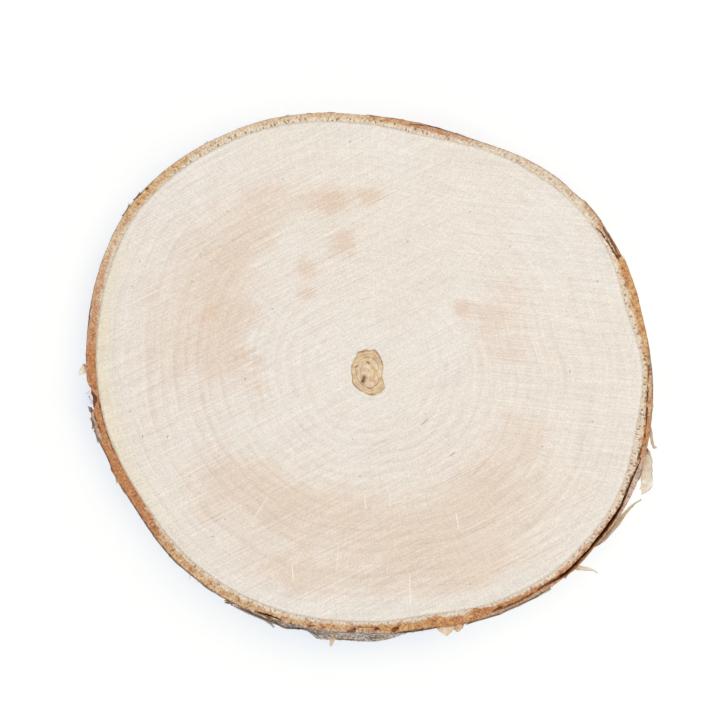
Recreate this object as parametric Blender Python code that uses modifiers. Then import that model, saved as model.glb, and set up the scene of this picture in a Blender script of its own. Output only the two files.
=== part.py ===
"""A slice sawn across a birch trunk: a disc of wood, the inner bark round it, and the papery outer
bark with its peeling strips. Metres, +Z up. The origin is under the pith, on the sawn underside."""

import math
import random

import bmesh
import bpy
from mathutils import Vector

MM = 0.001

# Driving dimensions
THICKNESS = 25.0 * MM
BARK_RADIUS = 110.0 * MM
BARK_DEPTH = 4.2 * MM
PAPER = 1.2 * MM
GAP = 0.3 * MM
STEPS = 216
OUTER_ROWS = 9
SEED = 7
# How far a repeat is shifted from even spacing, as a share of that spacing
SHIFT = 0.3
SHARP_EDGE = 40
# Radii of the turned blanks: a ring of the disc's face, and the rings' inner side
FACE_RING = 40.0 * MM
BLANK_INSIDE = 99.0 * MM

# Waves round the trunk: how many in a turn, height, and the angle of a crest in degrees
OUTLINE_WAVES = (
    (1, 0.8 * MM, 294),
    (2, 5.6 * MM, 163),
    (3, 1.1 * MM, 15),
    (4, 1.3 * MM, 48),
    (5, 0.6 * MM, 36),
)
DEPTH_WAVES = ((1, 0.6 * MM, 260),)

# Local swellings and hollows: angle, half-width in degrees, height
OUTLINE_SWELLS = (
    (11, 8, -0.5 * MM),
    (40, 9, 0.5 * MM),
    (64, 8, -0.6 * MM),
    (126, 9, -0.4 * MM),
    (146, 7, 0.7 * MM),
    (169, 8, -0.6 * MM),
    (192, 6, 0.5 * MM),
    (211, 7, -0.5 * MM),
    (226, 8, 0.3 * MM),
    (266, 9, -0.5 * MM),
    (283, 7, -0.7 * MM),
    (322, 6, -0.6 * MM),
    (342, 9, 0.5 * MM),
)
DEPTH_SWELLS = (
    (0, 6, -0.7 * MM),
    (15, 8, 1.8 * MM),
    (60, 9, -0.8 * MM),
    (77, 7, 0.9 * MM),
    (105, 12, -0.4 * MM),
    (285, 9, 0.8 * MM),
    (345, 9, 1.3 * MM),
)
PAPER_SWELLS = (
    (10, 10, 0.7 * MM),
    (168, 14, 0.2 * MM),
    (208, 16, 0.2 * MM),
)
# Where the paper stands off the inner bark
PARTED = (
    (249, 4, 0.6 * MM),
    (316, 6, 0.7 * MM),
    (331, 9, 1.4 * MM),
)

# The torn notch, where the outer bark is missing and the inner bark dips
NOTCH_ANGLE = 185.6
NOTCH_HALF = 2.3
NOTCH_DIP = 2.4 * MM

# A rough plate that bulges out below the sawn edge
PLATE_ANGLE = 268
PLATE_HALF = 10
PLATE_BULGE = 3.8 * MM
FLARE = 0.5 * MM
UNEVEN = 0.13 * MM
# The bark's torn edges: how far they lie from the sawn faces, and the heights of their waves
RAGGED_DROP = 0.45 * MM
RAGGED_SLOW = 0.16 * MM
RAGGED_QUICK = 0.12 * MM

# Lenticels: raised lines across the bark
LENTICELS = 90
LENTICEL_RAISE = 0.35 * MM
LENTICEL_HALF = (1.8, 4.2)

# Patches where the outermost sheet has come off
PATCHES = 11
PATCH_HALF = (6, 15)
PATCH_TALL = (2.5 * MM, 7.0 * MM)
PATCH_DEPTH = 0.3 * MM

# Peeling strips, as seen on the slice: root angle, height of the strip's middle above the underside,
# length, width, way round (1 counterclockwise), lift, curl and lean in degrees
STRIPS = (
    (38, 21.5 * MM, 24.0 * MM, 4.0 * MM, -1, 3, -5, 5),
    (147, 19.0 * MM, 4.5 * MM, 5.0 * MM, -1, 14, 10, 20),
    (178.6, 20.0 * MM, 5.0 * MM, 4.5 * MM, 1, 34, -30, 30),
    (188.8, 19.0 * MM, 4.0 * MM, 6.0 * MM, -1, 14, 20, 15),
    (195, 17.5 * MM, 5.5 * MM, 5.0 * MM, -1, 12, 10, 10),
    (202, 20.5 * MM, 4.0 * MM, 3.5 * MM, 1, 18, 10, 10),
    (240, 18.0 * MM, 3.8 * MM, 4.0 * MM, -1, 26, 10, 20),
    (263.5, 14.5 * MM, 5.5 * MM, 3.5 * MM, -1, 40, 20, 30),
    (292.5, 20.5 * MM, 13.0 * MM, 4.5 * MM, -1, 11, -18, 45),
    (308, 21.0 * MM, 4.5 * MM, 3.5 * MM, 1, 22, 10, 35),
    (316.5, 20.5 * MM, 10.0 * MM, 3.0 * MM, 1, 54, 8, 35),
    (321.5, 18.0 * MM, 28.0 * MM, 9.0 * MM, 1, 6, -7, 10),
    (341, 20.0 * MM, 6.0 * MM, 4.0 * MM, -1, 12, -10, 30),
    (345.5, 18.5 * MM, 19.0 * MM, 7.0 * MM, -1, 17, -4, 42),
    (349.5, 20.5 * MM, 13.0 * MM, 3.0 * MM, -1, 16, 22, 25),
)
STRIP_THICK = 0.75 * MM
STRIP_PARTS = 7
# How deep a strip's middle starts below the bark's face, and the width it keeps at its tip
STRIP_SUNK = 0.25 * MM
STRIP_TIP = 0.45

# Small strips all round the side
FLAKES = 26
FLAKE_LENGTH = (4.5 * MM, 8.0 * MM)
FLAKE_WIDTH = (1.8 * MM, 4.0 * MM)
FLAKE_HEIGHT = (4.5 * MM, 16.0 * MM)
FLAKE_LIFT = (8, 14)
FLAKE_CURL = (6, 22)
FLAKE_LEAN = (-12, 18)

# Colour as sRGB hex, and roughness
WOOD = ("sawn birch wood", "#E6DBCC", 0.7)
INNER_BARK = ("birch inner bark", "#C8976A", 0.85)
OUTER_BARK = ("birch paper bark", "#D3BFA6", 0.75)


def turn(angle):
    """An angle in degrees brought between -180 and 180."""
    return (angle + 180) % 360 - 180


def waves(angle, table):
    return sum(height * math.cos(math.radians(count * (angle - crest))) for count, height, crest in table)


def swells(angle, table):
    return sum(height * math.exp(-((turn(angle - centre) / half) ** 2)) for centre, half, height in table)


def outline(angle):
    """Radius of the bark's outer face at the sawn top."""
    return BARK_RADIUS + waves(angle, OUTLINE_WAVES) + swells(angle, OUTLINE_SWELLS)


def wood_radius(angle):
    depth = BARK_DEPTH + waves(angle, DEPTH_WAVES) + swells(angle, DEPTH_SWELLS)
    return outline(angle) - depth


def paper_depth(angle):
    return PAPER + swells(angle, PAPER_SWELLS)


def flare(height):
    """How much wider the trunk is at this height than at the sawn top."""
    return FLARE * (1 - height / THICKNESS)


def plate(angle, height):
    """How far the rough plate stands out: nothing at the sawn top, all of it from halfway down."""
    down = min(2 * (1 - height / THICKNESS), 1.0)
    rise = down * down * (3 - 2 * down)
    return PLATE_BULGE * rise * math.exp(-((turn(angle - PLATE_ANGLE) / PLATE_HALF) ** 4))


def paper_inside(angle, height):
    return outline(angle) - paper_depth(angle) + flare(height)


def inner_bark_radius(angle, height):
    parted = swells(angle, PARTED)
    notch = NOTCH_DIP * math.exp(-((turn(angle - NOTCH_ANGLE) / NOTCH_HALF) ** 4))
    return paper_inside(angle, height) - GAP - parted - notch


def lenticels():
    """Places of the raised lines: angle, row of the bark's face, half-length in degrees."""
    draw = random.Random(SEED)
    return [
        (draw.uniform(0, 360), draw.randrange(1, OUTER_ROWS), draw.uniform(*LENTICEL_HALF))
        for _ in range(LENTICELS)
    ]


def patches():
    """Places of the peeled patches: angle, height, half-width in degrees, half-height."""
    draw = random.Random(SEED + 2)
    return [
        (
            (number + draw.uniform(-SHIFT, SHIFT)) * 360 / PATCHES,
            draw.uniform(0.2, 0.8) * THICKNESS,
            draw.uniform(*PATCH_HALF),
            draw.uniform(*PATCH_TALL),
        )
        for number in range(PATCHES)
    ]


def peeled(angle, height, places):
    """How far the face lies back where the outermost sheet is gone."""
    spread = [(turn(angle - centre) / half) ** 4 + ((height - middle) / tall) ** 4
              for centre, middle, half, tall in places]
    return PATCH_DEPTH * math.exp(-2 * min(spread))


def unevenness(angle, height):
    """The bark's slow unevenness, on the outer face only."""
    climb = height / THICKNESS
    rise = math.sin(math.radians(7 * angle) + 3.1 * climb) + math.sin(math.radians(13 * angle) - 4.3 * climb)
    return UNEVEN * rise


def bark_face(angle, height, bare):
    """Radius of the bark's outer face before its raised lines."""
    face = outline(angle) + flare(height) + plate(angle, height) + unevenness(angle, height)
    return face - peeled(angle, height, bare)


def ragged(angle, share):
    """A torn edge's drop, different for the two edges of the bark."""
    slow = RAGGED_SLOW * math.sin(math.radians(11 * angle) + 9 * share)
    quick = RAGGED_QUICK * math.sin(math.radians(29 * angle) + 5 * share)
    return RAGGED_DROP + slow + quick


def material(name, colour, roughness):
    """A Principled material from an sRGB hex colour."""
    made = bpy.data.materials.new(name)
    made.use_nodes = True
    shader = made.node_tree.nodes["Principled BSDF"]
    parts = [int(colour[place:place + 2], 16) / 255 for place in (1, 3, 5)]
    linear = [part / 12.92 if part <= 0.04045 else ((part + 0.055) / 1.055) ** 2.4 for part in parts]
    shader.inputs["Base Color"].default_value = (*linear, 1)
    shader.inputs["Roughness"].default_value = roughness
    shader.inputs["Metallic"].default_value = 0
    return made


def new_object(name, mesh, collection):
    made = bpy.data.objects.new(name, mesh)
    collection.objects.link(made)
    return made


def evaluated_mesh(made):
    """The object's mesh with its modifiers in it."""
    graph = bpy.context.evaluated_depsgraph_get()
    return bpy.data.meshes.new_from_object(made.evaluated_get(graph))


def turned(name, profile, closed, sweep, collection):
    """A profile of (radius, height) points turned about the trunk's axis."""
    frame = bmesh.new()
    points = [frame.verts.new((radius, 0, height)) for radius, height in profile]
    for first, second in zip(points, points[1:]):
        frame.edges.new((first, second))
    if closed:
        frame.edges.new((points[-1], points[0]))
    mesh = bpy.data.meshes.new(name)
    frame.to_mesh(mesh)
    frame.free()
    made = new_object(name, mesh, collection)
    screw = made.modifiers.new("turned", "SCREW")
    screw.angle = math.radians(sweep)
    screw.steps = screw.render_steps = round(STEPS * sweep / 360)
    screw.use_merge_vertices = True
    screw.merge_threshold = 0.00001
    made.data = evaluated_mesh(made)
    made.modifiers.clear()
    return made


def finish(made, look):
    made.data.materials.clear()
    made.data.materials.append(material(*look))
    made.data.shade_smooth()
    made.data.set_sharp_from_angle(angle=math.radians(SHARP_EDGE))


def reshape(made, rule):
    """Moves each point of a turned piece to where the rule puts it, from its angle, radius and height."""
    for point in made.data.vertices:
        angle = math.degrees(math.atan2(point.co.y, point.co.x)) % 360
        radius, height = rule(angle, math.hypot(point.co.x, point.co.y), point.co.z)
        way = math.radians(angle)
        point.co = (radius * math.cos(way), radius * math.sin(way), height)


def make_wood(collection):
    """The disc: both faces sawn flat, its side following the trunk."""
    top = [(radius, THICKNESS) for radius in (0, FACE_RING, BARK_RADIUS)]
    bottom = [(radius, 0) for radius in (BARK_RADIUS, FACE_RING, 0)]
    made = turned("wood", top + bottom, False, 360, collection)

    def rule(angle, radius, height):
        return (wood_radius(angle) if radius > BLANK_INSIDE else radius), height

    reshape(made, rule)
    finish(made, WOOD)


def make_inner_bark(collection):
    """A ring sawn flush with the wood, fitted round it."""
    outside = [(BARK_RADIUS, height) for height in (THICKNESS, 0)]
    inside = [(BLANK_INSIDE, height) for height in (0, THICKNESS)]
    made = turned("inner_bark", outside + inside, True, 360, collection)
    middle = (BARK_RADIUS + BLANK_INSIDE) / 2

    def rule(angle, radius, height):
        if radius < middle:
            return wood_radius(angle) + GAP, height
        return inner_bark_radius(angle, height), height

    reshape(made, rule)
    finish(made, INNER_BARK)


def outer_bark_blank(bare, collection):
    """The papery bark before its strips: a thick sheet wound round the trunk from the notch to the notch."""
    outside = [(BARK_RADIUS, THICKNESS * (1 - row / OUTER_ROWS)) for row in range(OUTER_ROWS + 1)]
    inside = [(BLANK_INSIDE, height) for height in (0, THICKNESS)]
    made = turned("outer_bark", outside + inside, True, 360 - 2 * NOTCH_HALF, collection)
    middle = (BARK_RADIUS + BLANK_INSIDE) / 2
    start = NOTCH_ANGLE + NOTCH_HALF
    lines = lenticels()

    def rule(angle, radius, height):
        place = (angle + start) % 360
        share = height / THICKNESS
        low = ragged(place, 0)
        level = low + share * (THICKNESS - low - ragged(place, 1))
        if radius < middle:
            return paper_inside(place, level), level
        face = bark_face(place, level, bare)
        row = round((1 - share) * OUTER_ROWS)
        for centre, line_row, half in lines:
            if line_row == row:
                face += LENTICEL_RAISE * math.exp(-((turn(place - centre) / half) ** 4))
        return face, level

    reshape(made, rule)
    shift = math.radians(start)
    for point in made.data.vertices:
        x, y = point.co.x, point.co.y
        point.co.x = x * math.cos(shift) - y * math.sin(shift)
        point.co.y = x * math.sin(shift) + y * math.cos(shift)
    frame = bmesh.new()
    frame.from_mesh(made.data)
    bmesh.ops.holes_fill(frame, edges=[edge for edge in frame.edges if edge.is_boundary])
    frame.to_mesh(made.data)
    frame.free()
    return made


def strip_path(root, angle, height, length, way, lift, curl):
    """Places and headings along a strip's middle line, which starts along the bark and turns outward."""
    start = math.radians(angle)
    at = Vector((root * math.cos(start), root * math.sin(start), height))
    stations = []
    for number in range(STRIP_PARTS + 1):
        share = number / STRIP_PARTS
        heading = math.radians(angle + way * (90 - lift - curl * share * share))
        stations.append((at.copy(), heading))
        at += Vector((math.cos(heading), math.sin(heading), 0)) * (length / STRIP_PARTS)
    return stations


def strip(name, shape, bare, collection):
    """One peeling strip: a narrow sheet that leaves the bark's face, curls outward and leans."""
    angle, height, length, width, way, lift, curl, lean = shape
    root = bark_face(angle, height, bare) - STRIP_SUNK
    stations = strip_path(root, angle, height, length, way, lift, curl)
    frame = bmesh.new()
    bmesh.ops.create_grid(frame, x_segments=STRIP_PARTS, y_segments=1, size=0.5)
    for point in frame.verts:
        number = round((point.co.x + 0.5) * STRIP_PARTS)
        share = number / STRIP_PARTS
        centre, heading = stations[number]
        out = Vector((math.sin(heading), -math.cos(heading), 0)) * way
        tilt = math.radians(lean) * share
        across = out * math.sin(tilt) + Vector((0, 0, 1)) * math.cos(tilt)
        wide = width * (1 - (1 - STRIP_TIP) * share ** 2)
        point.co = centre + across * (wide * point.co.y)
    mesh = bpy.data.meshes.new(name)
    frame.to_mesh(mesh)
    frame.free()
    made = new_object(name, mesh, collection)
    thick = made.modifiers.new("thickness", "SOLIDIFY")
    thick.thickness = STRIP_THICK
    thick.offset = 0
    made.data = evaluated_mesh(made)
    made.modifiers.clear()


def flakes():
    """Shapes of the small strips round the side, spread evenly and then shifted a little."""
    draw = random.Random(SEED + 1)
    for number in range(FLAKES):
        angle = (number + draw.uniform(-SHIFT, SHIFT)) * 360 / FLAKES
        if abs(turn(angle - NOTCH_ANGLE)) < 3 * NOTCH_HALF or abs(turn(angle - PLATE_ANGLE)) < PLATE_HALF:
            continue
        yield (
            angle,
            draw.uniform(*FLAKE_HEIGHT),
            draw.uniform(*FLAKE_LENGTH),
            draw.uniform(*FLAKE_WIDTH),
            draw.choice((-1, 1)),
            draw.uniform(*FLAKE_LIFT),
            draw.uniform(*FLAKE_CURL),
            draw.uniform(*FLAKE_LEAN),
        )


def make_outer_bark(collection, strips):
    bare = patches()
    made = outer_bark_blank(bare, collection)
    for number, shape in enumerate((*STRIPS, *flakes())):
        strip(f"strip_{number}", shape, bare, strips)
    joined = made.modifiers.new("strips", "BOOLEAN")
    joined.operation = "UNION"
    joined.operand_type = "COLLECTION"
    joined.collection = strips
    joined.solver = "EXACT"
    made.data = evaluated_mesh(made)
    made.modifiers.clear()
    for piece in list(strips.objects):
        bpy.data.objects.remove(piece)
    finish(made, OUTER_BARK)


def main():
    for left in list(bpy.data.objects):
        bpy.data.objects.remove(left)
    parts = bpy.data.collections.new("birch_slice")
    strips = bpy.data.collections.new("strips")
    for made in (parts, strips):
        bpy.context.scene.collection.children.link(made)
    make_wood(parts)
    make_inner_bark(parts)
    make_outer_bark(parts, strips)
    bpy.data.collections.remove(strips)


main()
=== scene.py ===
"""The looks of a birch wood slice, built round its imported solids: the sawn face with its rings, stains
and saw marks, the inner bark, and the papery outer bark with its torn sheets and curls.
Metres, +Z up. The origin is under the pith, on the sawn underside. Angles are in degrees round the
trunk, counterclockwise from +X."""

import math
import random
from functools import partial

import bpy
import numpy as np
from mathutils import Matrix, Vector, noise


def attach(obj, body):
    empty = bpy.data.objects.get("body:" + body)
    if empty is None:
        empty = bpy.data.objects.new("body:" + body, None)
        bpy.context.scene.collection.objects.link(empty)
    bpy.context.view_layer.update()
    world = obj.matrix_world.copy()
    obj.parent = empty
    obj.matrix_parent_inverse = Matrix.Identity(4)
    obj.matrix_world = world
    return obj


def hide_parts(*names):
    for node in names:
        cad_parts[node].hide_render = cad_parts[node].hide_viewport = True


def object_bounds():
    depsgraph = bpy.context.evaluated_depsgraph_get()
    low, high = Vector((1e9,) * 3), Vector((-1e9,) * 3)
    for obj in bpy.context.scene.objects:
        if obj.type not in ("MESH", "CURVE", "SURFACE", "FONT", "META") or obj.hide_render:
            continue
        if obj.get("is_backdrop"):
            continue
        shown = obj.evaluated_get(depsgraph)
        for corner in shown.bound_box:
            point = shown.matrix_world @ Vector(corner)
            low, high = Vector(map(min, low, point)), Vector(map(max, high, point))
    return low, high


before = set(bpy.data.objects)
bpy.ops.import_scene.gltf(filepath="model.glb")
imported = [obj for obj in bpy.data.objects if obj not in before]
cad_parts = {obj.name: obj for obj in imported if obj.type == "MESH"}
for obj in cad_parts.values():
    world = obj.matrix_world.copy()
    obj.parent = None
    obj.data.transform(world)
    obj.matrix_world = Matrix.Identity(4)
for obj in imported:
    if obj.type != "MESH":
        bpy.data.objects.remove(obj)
cad_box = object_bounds()

MM = 0.001

# The slice and its layers, as in its solids. Waves are given by their count round the trunk, height in mm and
# crest, and swellings by their angle, half-span and height in mm
THICKNESS = 25.0 * MM
BARK_RADIUS = 110.0 * MM
MEAN_RADIUS = BARK_RADIUS / MM
BARK_DEPTH = 4.2 * MM
PAPER = 1.2 * MM
GAP = 0.3 * MM
OUTLINE_WAVES = ((1, 0.8, 294), (2, 5.6, 163), (3, 1.1, 15), (4, 1.3, 48), (5, 0.6, 36))
DEPTH_WAVES = ((1, 0.6, 260),)
OUTLINE_SWELLS = (
    (11, 8, -0.5), (40, 9, 0.5), (64, 8, -0.6), (126, 9, -0.4), (146, 7, 0.7), (169, 8, -0.6), (192, 6, 0.5),
    (211, 7, -0.5), (226, 8, 0.3), (266, 9, -0.5), (283, 7, -0.7), (322, 6, -0.6), (342, 9, 0.5),
)
DEPTH_SWELLS = (
    (0, 6, -0.7), (15, 8, 1.8), (60, 9, -0.8), (77, 7, 0.9), (105, 12, -0.4), (285, 9, 0.8), (345, 9, 1.3),
)
PAPER_SWELLS = ((10, 10, 0.7), (168, 14, 0.2), (208, 16, 0.2))
# How far the inner bark has shrunk from the outer bark, and how far the outer bark's inner face lies
# further out
PARTED = ((248.3, 2.6, 0.5), (316, 5, 0.25), (328, 6.5, 0.75), (337, 3.5, 1.4))
WORN_INSIDE = ((317, 6, 1.05), (327, 6, 0.5), (337.5, 3.5, -0.8))
NOTCH_ANGLE = 185.6
NOTCH_HALF = 2.3
NOTCH_DIP = 2.4 * MM
PLATE_ANGLE = 268
PLATE_HALF = 10
PLATE_BULGE = 3.8 * MM
FLARE = 0.5 * MM
UNEVEN = 0.13 * MM
# Where the outer layers stand out or are gone along the sawn top
LAYER_SWELLS = (
    (10, 9, 0.25), (28.3, 2.9, -0.55), (35.5, 3, 0.2), (41.5, 3, -0.35), (86, 5, -0.2), (98.5, 4, 0.3),
    (136, 8, -0.15), (159, 5, -0.4), (198, 2.6, -0.5), (252.3, 1.9, 1.2), (260, 2.6, 1.6), (281.5, 4, 0.45),
)

# Peeling strips: root angle, height of the strip's middle above the underside, length and width in mm, how
# much of the width its tip loses, way round (1 counterclockwise), lift, curl, lean and the tip's lean in
# degrees, then the turn that its tip makes and its tone (0 grey, 0.5 cream, 1 orange)
STRIPS = (
    (38, 20.5, 24, 4, 0.3, -1, 2, -14, 5, 5, 0, 0.8), (147, 19, 4.5, 5, 0.6, -1, 10, 10, 10, 10, 0, 0.5),
    (179, 20.5, 4.8, 4.2, 0.7, 1, 46, -12, 62, 62, 0, 0.5),
    (188.6, 19, 3.4, 5, 0.7, -1, 16, 20, 15, 15, 20, 0.25),
    (195, 17.5, 5.5, 5, 0.5, -1, 10, 10, 10, 10, 0, 0.5), (202, 20.5, 4, 3.5, 0.6, 1, 8, 10, 10, 10, 0, 0.7),
    (240, 18, 3.8, 4, 0.7, -1, 30, 10, 20, 20, 0, 0.1),
    (262.8, 21, 4.4, 2.2, 0.3, -1, 75, 5, 52, 52, 10, 0.8),
    (287.1, 22.5, 4.3, 8.5, 0.85, -1, 78, -10, 74, 74, 0, 0.7),
    (289.5, 22, 3.2, 6.4, 0.6, -1, 72, -30, 66, 66, 0, 0.95),
    (308, 21, 4.5, 3.5, 0.5, 1, 16, 10, 35, 35, 0, 0.4),
    (316.5, 20.5, 10, 3, 0.5, 1, 54, 8, 35, 20, 30, 0.47),
    (321.5, 18, 27.5, 8, 0.5, 1, 7, -7, 21, 5, 14, 0.62), (341, 20, 6, 4, 0.6, -1, 12, -10, 30, 30, 0, 0.1),
    (345.2, 19.5, 19.5, 5, -0.4, -1, 17, -3, 48, 50, -52, 0.5),
    (349.5, 20.5, 13, 3, 0.5, -1, 16, 22, 25, 25, 300, 0.6),
)
STRIP_THICK = 0.32 * MM
STRIP_SUNK = 0.25 * MM
STRIP_TIP = 0.45
STRIP_ALONG = 30
STRIP_ACROSS = 9
# The share of a strip's length in which its tip turns
TIP_SHARE = 0.3

# Torn sheets that hug the bark: angle, half-span, lower and upper edge, how far the first end, the other end
# and the top edge stand off, all in mm, and the tone
SHEETS = (
    (351, 2.6, 9, 24.7, 0.1, 0.2, 0, 0.95), (333, 7, 12, 22.5, 0.2, 0.3, 0.1, 0.45),
    (315, 1.2, 15, 24.6, 0.5, 0.4, 0.3, 0.4), (309, 1.3, 16, 24.7, 0.5, 0.5, 0.3, 0.45),
    (303, 4, 7, 24, 0.2, 0.4, 0.2, 0.3), (295, 3.5, 12, 24.5, 0.6, 0.3, 0.3, 0.3),
    (256.8, 2.4, 8, 23.9, 0.2, 0.3, 0.2, 0.05), (252.5, 2.6, 9, 24.3, 0.3, 0.4, 0.2, 0.15),
    (245.5, 4.3, 14, 24.6, 0.1, 1.4, 0.7, 0.5), (239, 0.9, 12, 24.5, 0.5, 0.7, 0.3, 0.05),
    (229, 6, 11, 22.6, 0.2, 0.4, 0.2, 0.25), (203.5, 2.8, 12, 24.7, 0.4, 0.1, 0.05, 0.8),
    (193.4, 1.3, 15, 24.6, 0.3, 0.4, 0.2, 0.5), (190.6, 1.1, 13, 24.3, 0.5, 0.7, 0.3, 0.1),
    (166, 9, 6, 21.5, 0.2, 0.2, 0.05, 0.7), (146.4, 1.3, 14, 24.6, 0.3, 0.4, 0.1, 0.45),
    (142.8, 1, 14, 24.6, 0.3, 0.3, 0.2, 0.25), (121, 12, 9, 21, 0.1, 0.2, 0.05, 0.5),
    (86, 4.3, 8, 24.8, 0.1, 0.2, 0.05, 0.9), (53, 10, 11, 21.5, 0.1, 0.2, 0.1, 0.5),
    (35.6, 2.9, 10, 24.7, 0.1, 0.3, 0.05, 0.4), (19.8, 4.6, 8, 24.8, 0.1, 0.4, 0.05, 0.95),
    (340, 12, 2, 9, 0.2, 0.8, 0.2, 0.5), (222, 14, 2.5, 10, 0.3, 0.9, 0.2, 0.45),
    (150, 13, 3, 12, 0.8, 0.2, 0.2, 0.55), (98, 15, 2, 8, 0.2, 0.9, 0.3, 0.5),
    (10, 12, 3, 11, 0.8, 0.2, 0.2, 0.6), (292, 9, 2.5, 10, 0.3, 0.8, 0.3, 0.3),
)

# Small strips all round the side, at the places that the solids have them
SEED = 7
SHIFT = 0.3
FLAKES = 26
FLAKE_LENGTH = (4.5 * MM, 8.0 * MM)
FLAKE_WIDTH = (1.8 * MM, 4.0 * MM)
FLAKE_HEIGHT = (4.5 * MM, 16.0 * MM)
FLAKE_LIFT = (5, 9)
FLAKE_CURL = (4, 14)
FLAKE_LEAN = (-12, 18)

# Lenticels: how many, half-length in mm, half-height and rise
LENTICELS = 260
LENTICEL_HALF = (1.2, 4.6)
LENTICEL_HEIGHT = 0.42 * MM
LENTICEL_RISE = 0.34 * MM

# Torn fibres: how many, where the bark is torn most (angle and half-span), length in mm and thickness
FIBRES = 110
FIBRE_PLACES = ((35, 8), (143, 6), (185.5, 2), (189, 3), (205, 8), (240, 12), (290, 10), (317, 10), (345, 8))
FIBRE_LENGTH = (0.8, 2.2)
FIBRE_THICK = 0.11 * MM

# How the sawn face looks round the trunk, read at these angles and smooth between them
RING_STRENGTH = ((0, 0.7), (45, 0.35), (90, 0.3), (135, 0.65), (180, 0.9), (225, 0.8), (270, 0.9), (315, 1))
# How orange the sawn bark is, how many mm deep from its outer face, and how red that orange is
RUST = (
    (0, 0.6), (5, 0.85), (12, 1), (22, 1), (26, 0.75), (33, 0.6), (40, 0.25), (55, 0.12), (64, 0.3),
    (71, 0.75), (80, 0.85), (89, 0.75), (93, 0.5), (100, 0.6), (106, 0.35), (124, 0.3), (133, 0.6),
    (143, 0.7), (152, 0.5), (162, 0.65), (172, 0.8), (180, 1), (212, 1), (220, 0.75), (235, 0.6), (258, 0.8),
    (270, 1), (310, 1), (322, 0.8), (335, 0.6), (341, 0.8), (346, 0.95), (353, 0.8),
)
RUST_DEPTH = (
    (0, 2.3), (12, 3.1), (22, 3), (27, 1.8), (60, 1.8), (71, 2.3), (89, 1.9), (96, 1.3), (124, 1.6),
    (133, 3), (143, 3.7), (152, 2.7), (162, 3.3), (172, 4.4), (180, 4.8), (205, 5.4), (213, 4.4), (222, 3.6),
    (245, 3.2), (258, 3), (270, 3.7), (283, 3.6), (285.5, 4.8), (288, 3.4), (292, 3.4), (294.5, 5.3),
    (297, 3.5), (310, 3.1), (335, 2.7),
)
RED = (
    (0, 0.4), (8, 0.35), (16, 0.45), (24, 0.3), (35, 0.4), (66, 0.7), (74, 0.95), (82, 0.5), (89, 0.45),
    (94, 0.15), (130, 0.15), (150, 0.3), (165, 0.8), (215, 0.85), (223, 0.4), (245, 0.4), (262, 0.6),
    (280, 0.55), (300, 0.75), (312, 0.8), (345, 0.7),
)
DOTS = (
    (0, 1), (20, 0.85), (40, 0.6), (66, 0.7), (80, 1), (120, 1), (135, 0.7), (148, 0.4), (158, 0.15),
    (200, 0.2), (215, 0.5), (226, 0.7), (260, 0.6), (290, 0.5), (305, 0.6), (325, 0.8), (345, 1),
)
# How dark the thin outer crust is
CRUST = (
    (0, 0.7), (4, 0.6), (8, 0.3), (24, 0.1), (26, 0.6), (32, 0.7), (35, 0.5), (60, 0.35), (72, 0.6),
    (80, 0.2), (92, 0.25), (100, 0.1), (108, 0.3), (125, 0.25), (142, 0.4), (150, 0.35), (160, 0.15),
    (168, 0.5), (174, 0.2), (180, 0.1), (196, 0.75), (201, 0.7), (203, 0.4), (212, 0.8), (236, 0.75),
    (243, 0.7), (258, 0.4), (264, 0.1), (274, 0.1), (278, 0.9), (282, 1), (286, 0.5), (288, 0.2), (303, 0.6),
    (312, 0.2), (345, 0.2), (352, 0.5),
)
# The cream and the ashen outer layers: how much they show and how many mm deep
CREAM = (
    (0, 0), (185, 0), (188, 0.8), (193, 0.8), (196, 0), (240, 0.3), (247, 0.7), (251, 0.1), (259, 0.2),
    (263, 0.55), (276, 0.5), (279, 0), (290, 0), (297, 0.45), (308, 0.6), (312, 0.2), (322, 0.1), (330, 0.3),
    (338, 0.75), (344, 0.4), (350, 0),
)
CREAM_DEPTH = (
    (0, 1.4), (186, 1), (194, 1.6), (200, 1.4), (258, 1.4), (263, 1.9), (268, 2.5), (277, 2.1), (281, 1.4),
    (330, 1.4), (337, 2.1), (342, 1.6),
)
ASHEN = (
    (0, 0), (186, 0), (190, 0.35), (196, 0.3), (202, 0), (237, 0), (242, 0.5), (250, 0.9), (276, 0.9),
    (283, 0.5), (288, 0), (296, 0.2), (304, 0.2), (310, 0),
)
ASHEN_DEPTH = ((0, 1.2), (244, 0.4), (251, 1.1), (260, 1), (264, 0.6), (276, 0.6), (282, 0.5), (300, 0.6))
# How yellow the wood is next to the bark
YELLOW = ((140, 0), (158, 0.6), (172, 1), (195, 1), (215, 0.45), (232, 0.1), (300, 0))

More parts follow.
